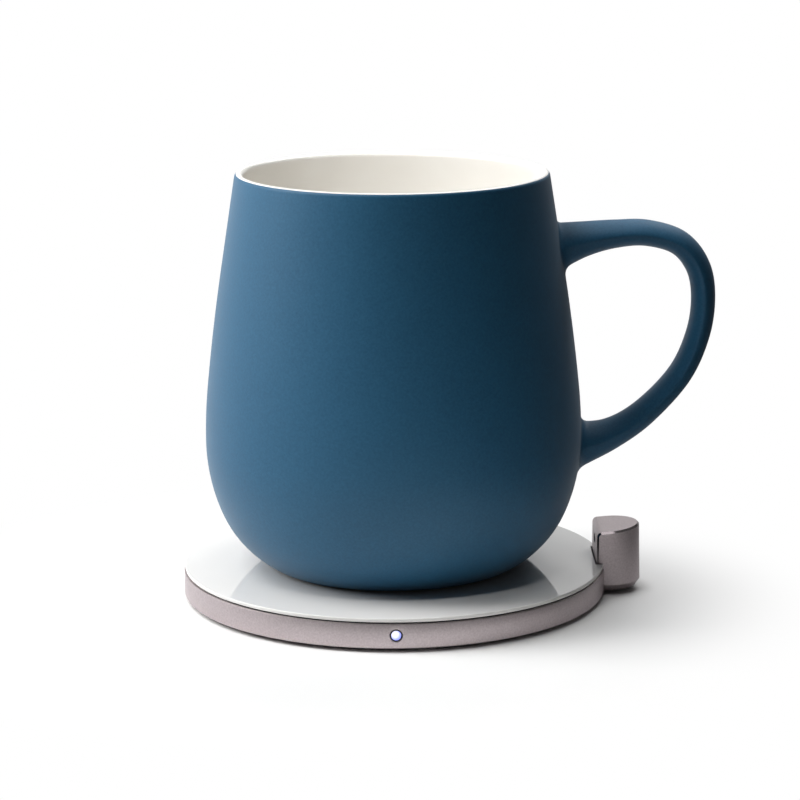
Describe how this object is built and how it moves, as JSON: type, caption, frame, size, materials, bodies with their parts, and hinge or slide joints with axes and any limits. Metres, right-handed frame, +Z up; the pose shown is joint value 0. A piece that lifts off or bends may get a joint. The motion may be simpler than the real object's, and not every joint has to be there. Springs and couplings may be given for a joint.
{
  "type": "self-heating mug with warming pad",
  "caption": "Egg-shaped ceramic mug with an ear handle, standing on a round glass-topped warming pad with a metal rim, a sensor post and an indicator light.",
  "frame": {"origin": "on the pad's axis, on the table face under the foot mat", "axes": "+Z up, +X towards the mug's handle and the sensor post, -Y towards the indicator light and +Y towards the power inlet"},
  "size_m": [0.138, 0.11, 0.1108],
  "materials": {
    "black_silicone": "moulded silicone rubber, soft matte",
    "black_plastic": "moulded black plastic, fine matte texture",
    "screw_steel": "turned steel",
    "anodised_aluminium": "bead-blasted aluminium, anodised a warm taupe grey",
    "gasket_foam": "dark adhesive foam",
    "white_glass": "clear glass painted white on its back, polished edge",
    "tray_plastic": "moulded pale plastic",
    "ferrite": "pressed and sintered ferrite, dull dark grey",
    "coil_copper": "enamelled copper wire",
    "circuit_board": "glass-fibre board with green solder mask",
    "chip_resin": "moulded black epoxy",
    "capacitor_ceramic": "fired tan ceramic",
    "led_resin": "clear cast resin",
    "indicator_lens": "milky moulded light guide, lit bluish white",
    "inlet_steel": "folded plated steel sheet",
    "sensor_window": "dark infrared-passing plastic, polished",
    "flex_film": "amber polyimide film",
    "mug_ceramic": "satin blue glaze outside, white gloss glaze inside and on the lip",
    "insulation_felt": "pressed ceramic-fibre felt",
    "cutout_resin": "moulded brown phenolic resin",
    "heater_steel": "rolled stainless steel"
  },
  "bodies": {
    "warming_pad": {"foot_mat": "black_silicone", "base_plate": "black_plastic", "base_screws": "screw_steel", "rim_ring": "anodised_aluminium", "glass_gasket": "gasket_foam", "glass_top": "white_glass", "coil_tray": "tray_plastic", "ferrite_plate": "ferrite", "transmitter_coil": "coil_copper", "coil_lead": "coil_copper", "control_board": "circuit_board", "board_chips": "chip_resin", "board_capacitors": "capacitor_ceramic", "board_choke": "ferrite", "board_screws": "screw_steel", "indicator_led": "led_resin", "indicator_lens": "indicator_lens", "lens_collar": "black_plastic", "inlet_shell": "inlet_steel", "inlet_tongue": "black_plastic", "post_housing": "anodised_aluminium", "post_cover": "black_plastic", "post_screws": "screw_steel", "sensor_window": "sensor_window", "sensor_chip": "chip_resin", "sensor_board": "circuit_board", "sensor_flex": "flex_film", "flex_socket": "tray_plastic"},
    "mug": {"mug_body": "mug_ceramic", "handle": "mug_ceramic", "mug_cover": "black_plastic", "foot_ring": "black_silicone", "receiver_coil": "coil_copper", "receiver_leads": "coil_copper", "receiver_ferrite": "ferrite", "insulation_disc": "insulation_felt", "thermal_cutout": "cutout_resin", "heating_plate": "heater_steel"}
  },
  "joints": [
    {"name": "mug_lift", "type": "slide", "parent": "warming_pad", "child": "mug", "axis": [0, 0, 1], "range_m": [0, 0.06]}
  ]
}
